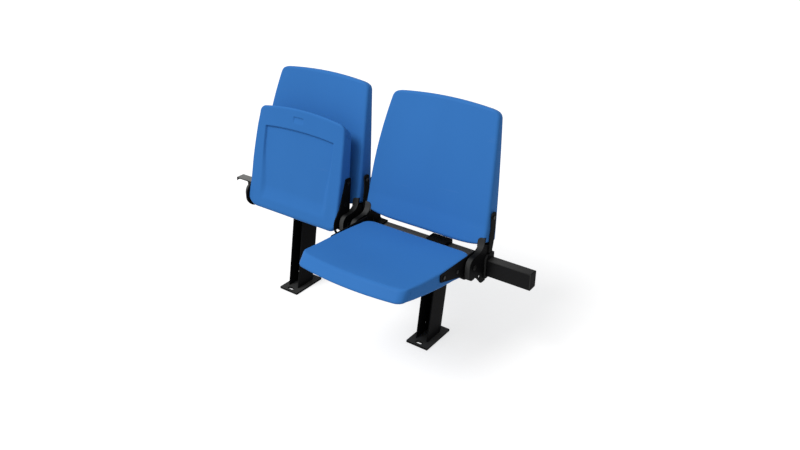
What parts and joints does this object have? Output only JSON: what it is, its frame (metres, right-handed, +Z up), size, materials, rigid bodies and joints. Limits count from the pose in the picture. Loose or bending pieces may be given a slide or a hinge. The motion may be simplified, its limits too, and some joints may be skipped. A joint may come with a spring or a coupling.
{
  "type": "stadium seat",
  "caption": "Tip-up stadium seats side by side on a square beam carried by raked channel posts with floor plates; the pans hinge on the side brackets.",
  "frame": {"origin": "on the floor under the middle of the unit's bounding box", "axes": "+X along the beam towards its capped end, the seats face -Y, +Z up"},
  "size_m": [1.35, 0.5898, 0.8533],
  "materials": {
    "blue_shell": "satin moulded shell with a fine grain",
    "black_steel": "semi-matt black powder coat on steel",
    "black_bracket": "black glass-filled moulding, satin",
    "zinc_fastener": "dark zinc-plated steel",
    "nylon_bush": "plain grey nylon"
  },
  "bodies": {
    "stand": {"beam": "black_steel", "beam_end_cap": "black_bracket", "left_base_plate": "black_steel", "left_beam_clamp": "black_steel", "left_clamp_bolt_1": "zinc_fastener", "left_clamp_bolt_2": "zinc_fastener", "left_clamp_bolt_3": "zinc_fastener", "left_clamp_bolt_4": "zinc_fastener", "left_post": "black_steel", "left_seat_backrest": "blue_shell", "left_seat_left_arm": "black_bracket", "left_seat_left_backrest_screw": "zinc_fastener", "left_seat_left_keeper": "black_steel", "left_seat_left_keeper_bolt": "zinc_fastener", "left_seat_left_pivot_pin": "zinc_fastener", "left_seat_left_stop_stud": "zinc_fastener", "left_seat_right_arm": "black_bracket", "left_seat_right_backrest_screw": "zinc_fastener", "left_seat_right_keeper": "black_steel", "left_seat_right_keeper_bolt": "zinc_fastener", "left_seat_right_pivot_pin": "zinc_fastener", "left_seat_right_stop_stud": "zinc_fastener", "right_base_plate": "black_steel", "right_beam_clamp": "black_steel", "right_clamp_bolt_1": "zinc_fastener", "right_clamp_bolt_2": "zinc_fastener", "right_clamp_bolt_3": "zinc_fastener", "right_clamp_bolt_4": "zinc_fastener", "right_post": "black_steel", "right_seat_backrest": "blue_shell", "right_seat_left_arm": "black_bracket", "right_seat_left_backrest_screw": "zinc_fastener", "right_seat_left_keeper": "black_steel", "right_seat_left_keeper_bolt": "zinc_fastener", "right_seat_left_pivot_pin": "zinc_fastener", "right_seat_left_stop_stud": "zinc_fastener", "right_seat_right_arm": "black_bracket", "right_seat_right_backrest_screw": "zinc_fastener", "right_seat_right_keeper": "black_steel", "right_seat_right_keeper_bolt": "zinc_fastener", "right_seat_right_pivot_pin": "zinc_fastener", "right_seat_right_stop_stud": "zinc_fastener"},
    "left_pan": {"left_seat_left_bush": "nylon_bush", "left_seat_left_hinge_plate": "black_steel", "left_seat_left_pan_screw_1": "zinc_fastener", "left_seat_left_pan_screw_2": "zinc_fastener", "left_seat_pan": "blue_shell", "left_seat_right_bush": "nylon_bush", "left_seat_right_hinge_plate": "black_steel", "left_seat_right_pan_screw_1": "zinc_fastener", "left_seat_right_pan_screw_2": "zinc_fastener"},
    "right_pan": {"right_seat_left_bush": "nylon_bush", "right_seat_left_hinge_plate": "black_steel", "right_seat_left_pan_screw_1": "zinc_fastener", "right_seat_left_pan_screw_2": "zinc_fastener", "right_seat_pan": "blue_shell", "right_seat_right_bush": "nylon_bush", "right_seat_right_hinge_plate": "black_steel", "right_seat_right_pan_screw_1": "zinc_fastener", "right_seat_right_pan_screw_2": "zinc_fastener"}
  },
  "joints": [
    {"name": "left_seat_tip", "type": "hinge", "parent": "stand", "child": "left_pan", "pos_m": [-0.263, 0.07299, 0.377], "axis": [1, 0, 0], "range_deg": [0, 94.5]},
    {"name": "right_seat_tip", "type": "hinge", "parent": "stand", "child": "right_pan", "pos_m": [0.263, 0.07299, 0.377], "axis": [-1, 0, 0], "range_deg": [0, 94.5]}
  ]
}
